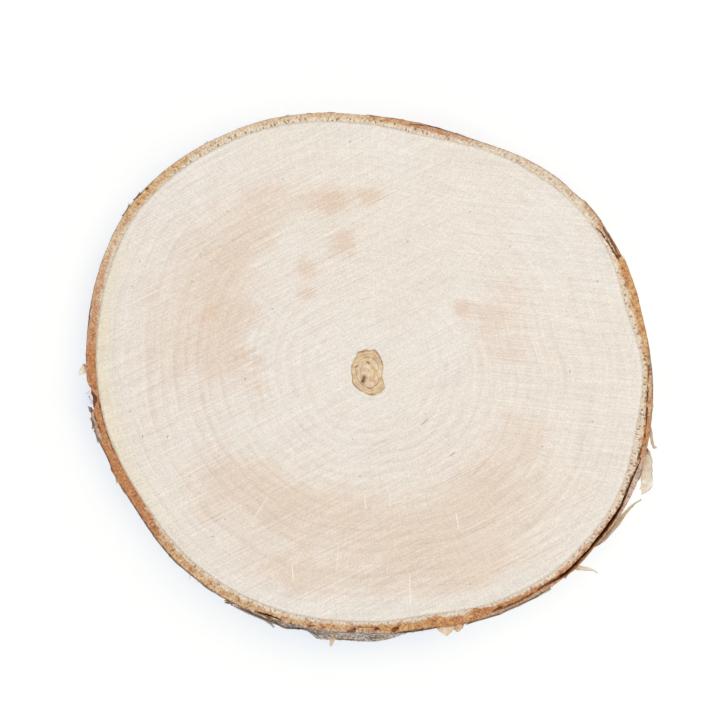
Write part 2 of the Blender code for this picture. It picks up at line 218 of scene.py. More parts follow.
# Cracks in the sawn bark: angle, half-span, mm in from the outer face, how many mm deeper a degree,
# half-width in mm, strength
CRACKS = (
    (28.3, 3.4, 1.05, -0.02, 0.35, 1.3), (28, 4.2, 2.4, 0.11, 0.28, 1.1), (24.6, 0.25, 1.2, 0, 0.9, 0.8),
    (77, 4.4, 0.5, 0.2, 0.28, 1), (73, 2.2, 0.2, 0.02, 0.3, 0.8), (140.4, 0.4, 0.7, 0.3, 0.6, 1),
    (142.8, 1.3, 0.1, 0, 0.45, 0.9), (143.8, 0.4, 2.4, 0, 0.35, 0.6), (152, 0.5, 1.8, 0.6, 0.6, 0.5),
    (156, 0.9, 2.2, 0, 0.9, 0.4), (169, 2.4, 0.3, 0.03, 0.3, 0.7), (190, 2.4, 1.3, 0.25, 0.3, 0.9),
    (193, 7, 4.1, 0, 0.16, 0.6), (187.3, 0.5, 4, 0, 0.35, 0.9), (227, 1.1, 4.7, 0.1, 0.25, 0.6),
    (247, 2.4, 0.9, -0.12, 0.3, 1), (252.8, 0.6, 1.2, 0, 0.5, 0.9), (257.5, 0.8, 1.6, 0.3, 0.35, 0.7),
    (266.5, 1, 1.2, 0.5, 0.55, 1.5), (272, 0.5, 2.2, 0, 0.35, 1.4), (276, 0.9, 1.4, 0.5, 0.7, 1.5),
    (270, 3.2, 2.9, 0, 0.18, 0.8), (298.6, 1.3, 1.7, 0.3, 0.45, 0.9), (303.5, 4.4, 1.5, 0.04, 0.4, 1.1),
    (311.5, 3.2, 1.8, -0.08, 0.4, 1.1), (317.5, 5, 0.8, 0.02, 0.4, 1), (327.5, 5, 1.1, 0.04, 0.45, 0.85),
    (343.5, 2.2, 2.4, -0.06, 0.35, 0.75), (347.3, 1, 1.9, 0.3, 0.4, 0.7), (351, 2, 1.9, 0.06, 0.45, 0.8),
    (356.5, 3.6, 1.9, -0.12, 0.3, 0.7), (345, 1.2, 1, 0.6, 0.3, 0.6), (1.6, 3, 1.1, 0, 0.7, 0.62),
)

# Stains that follow the rings: distance from the pith and half-depth in mm, angle, half-span, strength
STAIN_ARCS = (
    (70, 27, 262, 52, 0.48), (72, 21, 156, 38, 0.52), (62, 15, 325, 26, 0.34), (75, 6, 101, 17, 0.5),
    (60, 20, 15, 18, 0.25), (88, 13, 306, 34, 0.32),
)
# Blots: place, half-length, half-width, turn, strength
STAIN_BLOTS = (
    (-58, 26, 18, 8, 80, 0.5), (-47, 24, 7, 6, 0, 0.35), (-55, 6, 9, 7, 60, 0.4), (-44, -6, 8, 6, 70, 0.4),
    (-42, 64, 16, 7, 65, 0.4), (-16, 66, 6, 5, 0, 0.45), (57, 32, 8, 8, 0, 0.3), (49, 22, 8, 7, 0, 0.3),
    (51, 8, 8, 8, 0, 0.3), (38, 26, 5, 5, 0, 0.25), (61, -26, 10, 9, 0, 0.3), (50, -45, 12, 9, 0, 0.3),
    (-53, -40, 14, 8, -40, 0.4), (-37, -54, 11, 8, -30, 0.4), (-13, -55, 13, 7, -5, 0.6),
    (-66, -51, 11, 8, -40, 0.35), (-27, -82, 17, 6, -14, 0.55), (45, -80, 12, 6, 25, 0.45),
    (28, -62, 28, 8, 18, 0.4), (22, -76, 16, 8, 12, 0.3), (-8, -16, 7, 5, 0, 0.3),
)
# Spots with a clear edge: place, half-length, half-width, turn
STAIN_SPOTS = (
    (-9.6, 52, 6.2, 5.4, 20), (-24, 40.4, 5.6, 5, 60), (-23.8, 31.2, 3.6, 3.2, 0), (1, 70.4, 5, 3.4, 10),
    (-13, 68, 7.5, 3.6, 8), (-49.6, 6.4, 3.4, 3, 0), (-44, 4, 2.4, 2, 0), (38, 25, 3, 4, 0),
    (-63, 23, 5, 4, 70),
)
# Dark flecks in the wood: place, half-length, turn
FLECKS = (
    (-70, 36, 0.45, 0), (-56, 64, 0.35, 0), (-38, 25, 0.4, 30), (-34, 77, 0.3, 0), (-94, 34, 0.4, 0),
    (-91, 44, 0.3, 0), (-49, -3, 0.5, 60), (-67, 47, 0.3, 0), (16, 52, 0.5, 20), (57, 50, 0.35, 0),
    (41, 64, 0.4, 0), (-7, 92, 0.5, 70), (92, 36, 0.5, 80), (81, 0, 0.5, 80), (-95, -16, 0.4, 0),
    (-90, -26, 0.7, 70), (-80, -26, 0.7, 70), (-71, -42, 0.4, 0), (-6, -27, 0.35, 0), (-62, -66, 0.5, 0),
    (-57, -59, 0.4, 40), (-3, -42, 0.35, 0), (23, -20, 1.9, 40), (34, -33, 1.6, 35), (70, -30, 0.4, 0),
    (90, -20, 0.45, 0), (41, -85, 0.35, 0),
)
# Pale hairline scratches: place, half-length, turn
SCRATCHES = (
    (-1, -52, 4, 92), (9, -51, 3.5, 88), (17, -88, 6.8, 91), (-43, -55, 5.4, 58), (-12, -75, 5, 84),
    (36, -60, 4, 100), (-30, -80, 4, 95),
)

# The pith's outline: angle, distance from the pith's middle
PITH_MIDDLE = (0.0, -0.4)
PITH_OUTLINE = (
    (0, 6.1), (30, 6.9), (55, 8), (75, 8.9), (90, 8.9), (110, 8.7), (130, 7.9), (150, 6.8), (180, 6.2),
    (200, 6.4), (214, 7.2), (235, 7.4), (255, 8), (270, 8.6), (290, 9.1), (305, 9.5), (318, 9.2), (328, 7.7),
    (342, 6.4),
)
PITH_HOLLOW = 0.35 * MM
# Lines in the pith: share of its outline, half-width, strength, colour
PITH_LINES = (
    (1.15, 0.08, 0.85, "#9A7A48"), (1, 0.05, 0.45, "#A98A5C"), (0.86, 0.06, 0.65, "#927148"),
    (0.58, 0.07, 0.4, "#A37B4C"), (1.38, 0.04, 0.14, "#A08456"),
)
# Dark specks in it: place, half-length, turn, half-width, strength
PITH_SPECKS = (
    (-1.6, -3.2, 2.6, 65, 1.7, 0.45), (-1.5, -3, 1.7, 70, 0.7, 0.8), (-1.9, -4, 0.8, 0, 0.7, 0.9),
    (0.3, 3.6, 2.2, -35, 1.1, 0.35), (0.2, 3.6, 1.2, -35, 0.45, 0.7), (-4.2, 2.2, 1.4, 25, 0.6, 0.5),
)

# How far apart the growth rings are, in mm
RING_WIDTH = 4.6
# Where the two runs of saw marks meet: height on the face, then distance to the right, both in mm
SAW_MEETING = ((-120, 150), (-56, 112), (-41, 81), (-28, 56), (-20, 43), (72, 35), (104, 23), (130, 15))
SAW_BLEND = 7


# Kinds of nodes, and settings that many of them share
MATH = "ShaderNodeMath"
MIX = "ShaderNodeMix"
NOISE = "ShaderNodeTexNoise"
RANGE = "ShaderNodeMapRange"
VECTOR = "ShaderNodeVectorMath"
MAPPING = "ShaderNodeMapping"
ATTRIBUTE = "ShaderNodeAttribute"
NAMED = "GeometryNodeInputNamedAttribute"
SOFT = {"interpolation_type": "SMOOTHSTEP"}
COLOURS = {"data_type": "RGBA", "out": 2}
TIMES = {"operation": "MULTIPLY"}
TIMES_ADD = {"operation": "MULTIPLY_ADD"}
OVER = {"operation": "DIVIDE"}
SCALED = {"operation": "SCALE"}
# What leaves only the level part of a place
LEVEL = (1, 1, 0)


def turn(angle):
    """An angle in degrees brought between -180 and 180."""
    return (angle + 180) % 360 - 180


def waves(angle, table):
    """How far slow waves round the trunk stand out."""
    return sum(height * MM * np.cos(np.radians(count * (angle - crest))) for count, height, crest in table)


def swells(angle, table):
    """How far local swellings and hollows stand out."""
    return sum(height * MM * np.exp(-((turn(angle - centre) / half) ** 2)) for centre, half, height in table)


def outline(angle):
    """Radius of the bark's outer face at the sawn top."""
    return BARK_RADIUS + waves(angle, OUTLINE_WAVES) + swells(angle, OUTLINE_SWELLS)


def wood_radius(angle):
    """Radius of the wood under the bark."""
    return outline(angle) - BARK_DEPTH - waves(angle, DEPTH_WAVES) - swells(angle, DEPTH_SWELLS)


def paper_inside(angle, height):
    """Radius of the outer bark's inner face."""
    flare = FLARE * (1 - height / THICKNESS)
    return outline(angle) - PAPER - swells(angle, PAPER_SWELLS) + flare


def notch(angle):
    """How far the torn dip on the left goes in."""
    return NOTCH_DIP * np.exp(-((turn(angle - NOTCH_ANGLE) / NOTCH_HALF) ** 4))


def plate(angle, height):
    """How far the rough plate stands out: nothing at the sawn top, all of it from a third down."""
    down = np.clip(3 * (1 - height / THICKNESS), 0, 1)
    rise = down * down * (3 - 2 * down)
    return PLATE_BULGE * rise * np.exp(-((turn(angle - PLATE_ANGLE) / PLATE_HALF) ** 4))


def bark_face(angle, height):
    """Radius of the bark's outer face without its torn sheets."""
    climb = height / THICKNESS
    flare = FLARE * (1 - climb)
    uneven = np.sin(np.radians(7 * angle) + 3.1 * climb) + np.sin(np.radians(13 * angle) - 4.3 * climb)
    layers = swells(angle, LAYER_SWELLS) * eased(height, 9 * MM, 15 * MM)
    return outline(angle) + flare + plate(angle, height) + layers + UNEVEN * uneven


def round_trunk(angle, table):
    """A value read from a table of (angle, value), going on across 360 degrees."""
    places, values = zip(*table)
    return np.interp(angle, places, values, period=360)


def eased(value, low, high):
    """0 below low and 1 above high, with a soft passage."""
    share = np.clip((value - low) / (high - low), 0, 1)
    return share * share * (3 - 2 * share)


def near_top(height):
    """1 at the sawn top, and nothing from 4 mm below it."""
    return eased(height, THICKNESS - 4 * MM, THICKNESS - 0.8 * MM)


def in_metres(table, first, last):
    """A table whose values from the first to before the last are brought from millimetres to metres."""
    return [(*row[:first], *[value * MM for value in row[first:last]], *row[last:]) for row in table]


def cloud(points, size, octaves=3, shift=0.0):
    """Smooth unevenness from about -1 to 1 at each point, in lumps of the given size."""
    flat = (np.asarray(points).reshape(-1, 3) / size + shift).tolist()
    values = [noise.fractal(Vector(place), 1.0, 2.0, octaves) for place in flat]
    return np.array(values).reshape(np.shape(points)[:-1])


def round_points(angle, radius, height):
    """Points from their angle, radius and height."""
    way = np.radians(angle)
    shape = np.broadcast_shapes(np.shape(angle), np.shape(radius), np.shape(height))
    parts = (radius * np.cos(way), radius * np.sin(way), height)
    return np.stack([np.broadcast_to(part, shape) for part in parts], -1)


def net(columns, rows, closed_round, closed_section):
    """Faces over a net of points that goes row by row up each column."""
    column, row = np.meshgrid(
        np.arange(columns if closed_round else columns - 1),
        np.arange(rows if closed_section else rows - 1),
        indexing="ij",
    )
    beside, above = (column + 1) % columns, (row + 1) % rows
    corners = (column * rows + row, column * rows + above, beside * rows + above, beside * rows + row)
    return np.stack(corners, -1).reshape(-1, 4).tolist()


def add_piece(name, points, faces, look, slot, solid=None, **values):
    """Makes a piece of the slice from points, faces and a value a point for each named attribute."""
    mesh = bpy.data.meshes.new(name)
    mesh.from_pydata(np.reshape(points, (-1, 3)).tolist(), [], faces)
    for key, data in values.items():
        flat = np.broadcast_to(data, np.shape(points)[:-1]) if np.ndim(points) == 3 else data
        kept = mesh.attributes.new(key, "FLOAT", "POINT").data
        kept.foreach_set("value", np.ravel(flat).astype(np.float32))
    mesh.materials.append(look)
    mesh.shade_smooth()
    made = bpy.data.objects.new(name, mesh)
    bpy.context.scene.collection.objects.link(made)
    place_piece(made, slot, solid)
    return made


def place_piece(made, slot, solid=None):
    """Hides the solid that a piece replaces, if it does, and hangs the piece under the root body. Its slot is
    not used.
    """
    if solid:
        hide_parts(solid)
    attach(made, "root")


def colour(code):
    """An sRGB hex colour as linear red, green, blue and alpha."""
    parts = [int(code[place:place + 2], 16) / 255 for place in (1, 3, 5)]
    return (*[part / 12.92 if part <= 0.04045 else ((part + 0.055) / 1.055) ** 2.4 for part in parts], 1)


def add(tree, kind, *inputs, out=0, **settings):
    """Adds a node with its settings, and returns one of its outputs. Its inputs are values, hex colours or
    links, either in order or in one dictionary by number or name."""
    made = tree.nodes.new(kind)
    for name, value in settings.items():
        setattr(made, name, value)
    given = inputs[0] if inputs and isinstance(inputs[0], dict) else dict(enumerate(inputs))
    for socket, value in given.items():
        if isinstance(value, bpy.types.NodeSocket):
            tree.links.new(value, made.inputs[socket])
        else:
            made.inputs[socket].default_value = colour(value) if str(value).startswith("#") else value
    return made if out is None else made.outputs[out]


def new_material(name, **constants):
    """A material with a Principled shader. Returns it with a way to add nodes to it, and its shader."""
    made = bpy.data.materials.new(name)
    made.use_nodes = True
    shader = made.node_tree.nodes["Principled BSDF"]
    for socket, value in constants.items():
        shader.inputs[socket.replace("_", " ")].default_value = value
    return made, partial(add, made.node_tree), shader


def millimetres(node):
    """The place on the object in millimetres."""
    return node(VECTOR, {0: node("ShaderNodeTexCoord", out=3), "Scale": 1 / MM}, **SCALED)


def laid_over(node, tint, coats):
    """A colour under some coats, each with the share of it that shows and its own colour."""
    for share, coat in coats:
        tint = node(MIX, {0: share, 6: tint, 7: coat}, **COLOURS)
    return tint


def finish_material(shader, node, tint, height, depth, roughness=None):
    """Gives the shader its colour, and its relief from a height between 0 and 1."""
    bump = node("ShaderNodeBump", {"Height": height, "Distance": depth, "Strength": 1.0})
    for socket, given in (("Base Color", tint), ("Normal", bump), ("Roughness", roughness)):
        if given:
            shader.id_data.links.new(given, shader.inputs[socket])


def marks_nearby(node, place, table, wide):
    """How near a place is to the closest of some short marks: 0 on a mark's middle line, 1 at its edge."""
    nearest = None
    for x, y, half, turned in table:
        laid = {"Location": (x, y, 0), "Rotation": (0, 0, math.radians(turned)), "Scale": (half, wide, 1e6)}
        mark = node(MAPPING, {"Vector": place, **laid}, vector_type="TEXTURE")
        away = node(VECTOR, mark, out=1, operation="LENGTH")
        nearest = node(MATH, nearest, away, operation="MINIMUM") if nearest else away
    return nearest


def sawn_wood():
    """Birch end grain, sawn across and lightly sanded, unsealed: pale and matt. Rings 4.6 mm apart show as
    faint brown lines, saw marks about 1.2 mm apart cross the whole face, and the sap has left pinkish stains.
    Rays are under 0.1 mm wide, and are drawn 0.5 mm wide so that they show."""
    made, node, shader = new_material("sanded birch end grain", Roughness=0.7, Specular_IOR_Level=0.3)
    place = millimetres(node)
    growth, figure, stain, spot, side, rim, yellow, pith = (
        node(ATTRIBUTE, attribute_name=name, out=2)
        for name in ("growth", "figure", "stain", "spot", "saw_side", "rim", "yellow", "pith")
    )
    # Unevenness: its size in mm, its detail and its roughness
    wander, patchy, drift, edge, grain, bend, slow, mottle, blush, crumbs = (
        node(NOISE, {"Vector": place, "Scale": 1 / size, "Detail": detail, "Roughness": rough})
        for size, detail, rough in (
            (32, 1, 0.5), (14, 2, 0.5), (45, 2, 0.5), (9, 4, 0.6), (0.45, 1, 0.5),
            (2.2, 3, 0.5), (4.5, 1, 0.5), (1.6, 4, 0.5), (3.4, 2, 0.5), (1.1, 3, 0.7),
        )
    )

    # Growth rings, uneven in width and strength
    bent = node(MATH, wander, 5, growth, **TIMES_ADD)
    pace = node(NOISE, {"W": node(MATH, bent, 16, **OVER), "Scale": 1}, noise_dimensions="1D")
    paced = node(MATH, pace, 7, bent, **TIMES_ADD)
    ring = node(MATH, paced, RING_WIDTH, **OVER)
    phase = node(MATH, ring, operation="FRACT")
    number = node(MATH, ring, operation="FLOOR")
    year = node("ShaderNodeTexWhiteNoise", {"W": number}, noise_dimensions="1D")
    rings = node(RANGE, phase, 0.3, 0.9, **SOFT)
    for weight in (
        node(RANGE, phase, 0.92, 1, 1, 0, **SOFT),
        node(RANGE, {0: year, 3: 0.35, 4: 1}),
        node(RANGE, patchy, 0.35, 0.65, 0.3, 1),
        figure,
    ):
        rings = node(MATH, rings, weight, **TIMES)

    # Rays, and fine lines along the rings
    way = node(VECTOR, node(VECTOR, place, LEVEL, **TIMES), operation="NORMALIZE")
    fine_lines = []
    for reach, depth, scale in ((MEAN_RADIUS, node(MATH, growth, 9, **OVER), 1), (5, paced, 1.1)):
        run = node(VECTOR, {0: way, "Scale": reach}, **SCALED)
        fine_lines.append(
            node(NOISE, {"Vector": run, "W": depth, "Scale": scale, "Detail": 1}, noise_dimensions="4D")
        )
    rays, layers = fine_lines

    # Saw marks in two runs, each of broad marks and finer ones: turn, then length and width in mm
    marks = []
    for turned in (27, -6):
        runs = []
        for long, wide in ((60, 0.9), (24, 0.34)):
            laid = {"Rotation": (0, 0, math.radians(turned)), "Scale": (long, wide, 1000)}
            run = node(MAPPING, {"Vector": place, **laid}, vector_type="TEXTURE")
            runs.append(node(NOISE, {"Vector": run, "Scale": 1, "Detail": 1, "Roughness": 0.6}))
        marks.append(node(MIX, {0: 0.6, 2: runs[0], 3: runs[1]}))
    saw = node(MIX, {0: side, 2: marks[0], 3: marks[1]})

    # Stains and spots, whose edges run along the saw marks
    stained = node(MATH, edge, 0.9, stain, **TIMES_ADD)
    stained = node(MATH, saw, 0.8, stained, **TIMES_ADD)
    spotted = node(MATH, edge, 1.2, spot, **TIMES_ADD)
    spotted = node(MATH, saw, 2, spotted, **TIMES_ADD)
    coats = [
        (node(RANGE, drift, 0.35, 0.65), "#E8DFD3"),
        (node(RANGE, stained, 0.9, 1.75, **SOFT), "#E3D1C0"),
        (node(RANGE, {0: spotted, 1: 1.85, 2: 2.5, 4: 0.72}, **SOFT), "#E0C9B4"),
        (node(MATH, rings, 0.26, **TIMES), "#BFA68E"),
        (node(MATH, grain, yellow, **TIMES), "#E8D8AE"),
    ]

    # The pith: a thin brown outline, broken lines inside it, mottled tan between, and dark specks
    pith = node(MATH, slow, 0.3, pith, **TIMES_ADD)
    inside = node(RANGE, pith, 1.14, 1.2, 1, 0, **SOFT)
    mottle = node(RANGE, mottle, 0.3, 0.7)
    broken = node(RANGE, blush, 0.38, 0.56, 0.45, 1)
    blush = node(RANGE, blush, 0.5, 0.62)
    tan, pink = (
        node(MIX, {0: mottle, 6: deep, 7: high}, **COLOURS)
        for deep, high in (("#CDA777", "#EEDCBC"), ("#C9A282", "#EAD3C0"))
    )
    coats.append((inside, node(MIX, {0: blush, 6: tan, 7: pink}, **COLOURS)))
    for middle, half, weight, drawn_in in PITH_LINES:
        off = node(MATH, pith, middle, operation="SUBTRACT")
        off = node(MATH, off, operation="ABSOLUTE")
        drawn = node(RANGE, off, 0, half, weight, 0, **SOFT)
        coats.append((node(MATH, drawn, broken, **TIMES), drawn_in))
    for *mark, wide, weight in PITH_SPECKS:
        speck = marks_nearby(node, place, (mark,), wide)
        speck = node(MATH, bend, 1.2, speck, **TIMES_ADD)
        coats.append((node(RANGE, speck, 1, 1.7, weight, 0, **SOFT), "#6B4A33"))

    # Flecks, scratches, and the uneven edge against the bark
    fleck = marks_nearby(node, place, FLECKS, 0.28)
    scratch = marks_nearby(node, place, SCRATCHES, 0.2)
    close = node(MATH, crumbs, 3, rim, **TIMES_ADD)
    for mark, near, far, weight, code in (
        (fleck, 0.5, 1.5, 0.55, "#8A7462"),
        (scratch, 0.6, 1.3, 0.75, "#F8F2E8"),
        (close, 1.5, 2.2, 0.7, "#D9C7AC"),
    ):
        coats.append((node(RANGE, mark, near, far, weight, 0, **SOFT), code))
    tint = laid_over(node, "#E9E1D8", coats)

    # The light and dark of the marks over everything
    for texture, amount in ((saw, 0.09), (rays, 0.03), (layers, 0.03), (grain, 0.1)):
        shade = node(RANGE, texture, 0.3, 0.7, 1 + amount, 1 - amount)
        tint = node(VECTOR, {0: tint, "Scale": shade}, **SCALED)
    relief = node(MATH, rings, -0.4, saw, **TIMES_ADD)
    finish_material(shader, node, tint, relief, 0.08 * MM)
    return made


def sawn_bark(node, place):
    """Colour and relief of bark where the saw has cut it: buff with dark stone-cell dots next to the wood,
    orange-brown outside, grey or cream where the outer layers are loose, and red-brown in its cracks, the
    same red-brown also painted as shade down the walls of the gap and the notch."""
    rust, red, dots, crack_and_wall_shade, cream, ashen = (
        node(ATTRIBUTE, attribute_name=name, out=2)
        for name in ("rust", "red", "dots", "crack_and_wall_shade", "cream", "ashen")
    )
    fine, lumps, clots = (
        node(NOISE, {"Vector": place, "Scale": 1 / size, "Detail": detail, "Roughness": rough})
        for size, detail, rough in ((0.8, 4, 0.7), (3.5, 3, 0.6), (1.8, 2, 0.5))
    )
    grain = node(RANGE, fine, 0.34, 0.66)
    calm = node(MATH, red, rust, -0.65, use_clamp=True, **TIMES_ADD)
    grain = node(MIX, {0: calm, 2: grain, 3: 0.55})
    patch = node(MATH, red, 0.5, lumps, **TIMES_ADD)
    patch = node(RANGE, patch, 0.65, 0.85)
    buff, golden, orange = (
        node(MIX, {0: grain, 6: deep, 7: high}, **COLOURS)
        for deep, high in (("#D0B692", "#F9F1E3"), ("#B27A3A", "#ECC285"), ("#9C5A30", "#DDA474"))
    )
    orange = node(MIX, {0: patch, 6: golden, 7: orange}, **COLOURS)
    mixed = node(MATH, lumps, 1.1, rust, **TIMES_ADD)
    share = node(RANGE, mixed, 0.45, 1.5)
    spots = node(RANGE, {0: clots, 1: 0.56, 2: 0.68, 4: 0.6}, **SOFT)
    coats = [(share, orange), (node(MATH, spots, share, **TIMES), "#93532C")]
    clots = node(RANGE, clots, 0.35, 0.65, 1.15, 0.6)
    for weight, deep, high in ((cream, "#AA7F61", "#EDD8C3"), (ashen, "#40342C", "#CDBCAD")):
        layer = node(MIX, {0: grain, 6: deep, 7: high}, **COLOURS)
        layer = node(VECTOR, {0: layer, "Scale": clots}, **SCALED)
        shown = node(MATH, lumps, 1.4, weight, **TIMES_ADD)
        coats.append((node(RANGE, shown, 1, 1.4, **SOFT), layer))

    # Dots on a grid that is wrapped round the trunk, 1.4 mm apart
    flat = node(VECTOR, place, LEVEL, **TIMES)
    way = node(VECTOR, flat, operation="NORMALIZE")
    way = node(VECTOR, {0: way, "Scale": MEAN_RADIUS}, **SCALED)
    far = node(VECTOR, flat, out=1, operation="LENGTH")
    far = node("ShaderNodeCombineXYZ", {2: node(MATH, far, 1.5, **OVER)})
    rolled = node(VECTOR, way, far, operation="ADD")
    cells = node("ShaderNodeTexVoronoi", {"Vector": rolled, "Scale": 1 / 1.4})
    speck = node(MATH, fine, 0.5, cells, **TIMES_ADD)
    speck = node(RANGE, speck, 0.48, 0.66, 0.65, 0, **SOFT)
    # Red-brown in the cracks, and painted shade on the gap and notch walls, darker downward
    torn = node(MATH, fine, 0.7, crack_and_wall_shade, **TIMES_ADD)
    torn = node(RANGE, {0: torn, 1: 0.6, 2: 0.95, 4: 0.9}, **SOFT)
    coats += [(node(MATH, speck, dots, **TIMES), "#6E4E34"), (torn, "#743F22")]
    relief = node(MATH, torn, -1.2, fine, **TIMES_ADD)
    return laid_over(node, buff, coats), relief


def inner_bark_look():
    """Birch inner bark, sawn across: corky and matt, with dark stone-cell dots 1 to 2 mm apart next to the
    wood. Its grain is finer than 0.3 mm, and is drawn at 0.5 mm."""
    made, node, shader = new_material("sawn birch inner bark", Roughness=0.85, Specular_IOR_Level=0.25)
    finish_material(shader, node, *sawn_bark(node, millimetres(node)), 0.3 * MM)
    return made


def paper_bark_look():
    """Birch outer bark: papery corky layers, matt on the torn under-layers and silky on the pale skin. Layers
    under 0.1 mm thick show on its sawn edge. The older bark is grey and cracked."""
    made, node, shader = new_material("peeling birch paper bark", Specular_IOR_Level=0.35)
    place = millimetres(node)
    skin, layer, edge, dark, old = (
        node(ATTRIBUTE, attribute_name=name, out=2) for name in ("skin", "layer", "edge", "dark", "old")
    )
    band = node(MAPPING, {"Vector": place, "Scale": (9, 9, 0.8)}, vector_type="TEXTURE")
    grain, streak, broad, stains = (
        node(NOISE, {"Vector": over, "Scale": 1 / size, "Detail": detail, "Roughness": rough})
        for over, size, detail, rough in (
            (place, 1.1, 4, 0.7), (band, 1, 4, 0.65), (place, 22, 2, 0.5), (place, 2.4, 2, 0.5),
        )
    )

    # The outer skin, the layers under it, the cracked old bark and the torn edges
    bare = node(MATH, broad, 0.8, layer, **TIMES_ADD)
    bare = node(RANGE, bare, 0.75, 1.25, **SOFT)
    aged = node(MATH, streak, 0.8, old, **TIMES_ADD)
    aged = node(RANGE, aged, 0.7, 1.1, **SOFT)
    torn = node(RANGE, {0: edge, 1: 0.2, 2: 0.9, 4: 0.6}, **SOFT)
    rough_grain = node(RANGE, grain, 0.36, 0.6)
    pale, tan, cracked = (
        node(MIX, {0: share, 6: deep, 7: high}, **COLOURS)
        for share, deep, high in (
            (streak, "#CBBDA9", "#F6F0E6"),
            (streak, "#B2815A", "#E4C6A2"),
            (rough_grain, "#544439", "#DDD0C1"),
        )
    )
    face = laid_over(node, pale, ((bare, tan), (aged, cracked), (torn, "#7A5334")))

    # The sawn edge, with its thin crust
    sawn, cut = sawn_bark(node, place)
    outermost = node(MATH, grain, 0.9, skin, **TIMES_ADD)
    outermost = node(MATH, dark, 0.4, outermost, **TIMES_ADD)
    outermost = node(RANGE, outermost, 1.25, 1.55, **SOFT)
    outermost = node(MATH, outermost, dark, **TIMES)
    stains = node(RANGE, stains, 0.44, 0.68)
    crust = node(MIX, {0: stains, 6: "#43362C", 7: "#94704F"}, **COLOURS)
    on_side = node(RANGE, skin, 0.97, 1)
    tint = laid_over(node, sawn, ((outermost, crust), (on_side, face)))
    rough = node(RANGE, {0: bare, 3: 0.55, 4: 0.85})
    relief = node(MATH, streak, 0.8, grain, **TIMES_ADD)
    relief = node(MIX, {0: on_side, 2: cut, 3: relief})
    finish_material(shader, node, tint, relief, 0.3 * MM, rough)
    return made


def strip_look():
    """Peeled paper bark: sheets thinner than a card, silky and pale outside, warmer and matt inside, with
    fine lines along the trunk's girth. Their upper edges have gone grey."""
    made, node, shader = new_material("curled birch paper", Roughness=0.6, Specular_IOR_Level=0.35)
    place = millimetres(node)
    outside, tone, across, root, fold = (
        node(ATTRIBUTE, attribute_name=name, out=2) for name in ("outside", "tone", "across", "root", "fold")
    )
    own = node("ShaderNodeCombineXYZ", across, root, tone)
    lines = node(NOISE, {"Vector": own, "Scale": 9, "Detail": 3})
    mottle = node(NOISE, {"Vector": place, "Scale": 1 / 2, "Detail": 4, "Roughness": 0.65})
    mottle = node(RANGE, mottle, 0.3, 0.7)
    grey, cream, orange = (
        node(MIX, {0: mottle, 6: deep, 7: high}, **COLOURS)
        for deep, high in (("#62564D", "#D2C7BA"), ("#F0DFC0", "#FFFDF4"), ("#D9A066", "#FBDDB6"))
    )
    low = node(RANGE, tone, 0, 0.5)
    high = node(RANGE, tone, 0.5, 1)
    front = laid_over(node, grey, ((low, cream), (high, orange)))
    back = laid_over(node, front, ((0.15, orange),))
    near = node(MATH, mottle, 0.25, root, **TIMES_ADD)
    rooted = node(RANGE, near, 0.15, 0.4, 0.8, 0, **SOFT)
    rim = node(RANGE, {0: across, 1: 0.38, 2: 0.48, 4: 0.6})
    tint = laid_over(node, back, ((outside, front), (rooted, "#BC763F"), (rim, "#8E8072"), (fold, "#FFFFFC")))
    level = node(RANGE, lines, 0.25, 0.75, 0.86, 1.1)
    tint = node(VECTOR, {0: tint, "Scale": level}, **SCALED)
    finish_material(shader, node, tint, lines, 0.12 * MM)
    return made


def lenticel_look():
    """Cork of the lenticels: rough, matt and brown-grey, with paler patches where it has weathered."""
    made, node, shader = new_material("birch lenticel cork", Roughness=0.9, Specular_IOR_Level=0.2)
    place = millimetres(node)
    crumbs = node(NOISE, {"Vector": place, "Scale": 1 / 0.7, "Detail": 3})
    broad = node(NOISE, {"Vector": place, "Scale": 1 / 9, "Detail": 1})
    pale = node(RANGE, {0: broad, 1: 0.45, 2: 0.7, 4: 0.6})
    tint = laid_over(node, "#6B4B35", ((crumbs, "#A98A6C"), (pale, "#C9B497")))
    finish_material(shader, node, tint, crumbs, 0.2 * MM)
    return made


def fibre_look():
    """Torn bark fibres: dry and matt, pale tan to orange-brown."""
    made, node, shader = new_material("torn birch bast fibre", Roughness=0.85, Specular_IOR_Level=0.2)
    place = millimetres(node)
    patch = node(NOISE, {"Vector": place, "Scale": 1 / 7, "Detail": 1})
    patch = node(RANGE, patch, 0.4, 0.6)
    streak = node(NOISE, {"Vector": place, "Scale": 1 / 0.6, "Detail": 2})
    tint = laid_over(node, "#B98757", ((patch, "#E2CBA4"),))
    level = node(RANGE, streak, 0.3, 0.7, 0.85, 1.1)
    tint = node(VECTOR, {0: tint, "Scale": level}, **SCALED)
    finish_material(shader, node, tint, streak, 0.05 * MM)
    return made


def floor_look():
    """White painted board, smooth and matt. It glows a little, as a lit white sweep does, so the shadow
    on it stays pale and cool."""
    made, node, shader = new_material("white painted sweep", Roughness=0.9, Specular_IOR_Level=0.0,
                                      Emission_Color=colour("#AFC1DE"), Emission_Strength=1.0)
    paint = node(NOISE, {"Vector": millimetres(node), "Scale": 1 / 40, "Detail": 2})
    tint = laid_over(node, "#CABB8F", ((paint, "#CCBD91"),))
    made.node_tree.links.new(tint, shader.inputs["Base Color"])
    return made


def blot(x, y, middle_x, middle_y, half, wide, turned):
    """1 in the middle of an oval and falling to 0 outside it."""
    way = math.radians(turned)
    along = (x - middle_x) * math.cos(way) + (y - middle_y) * math.sin(way)
    across = (y - middle_y) * math.cos(way) - (x - middle_x) * math.sin(way)
    return np.exp(-0.7 * ((along / half) ** 2 + (across / wide) ** 2))


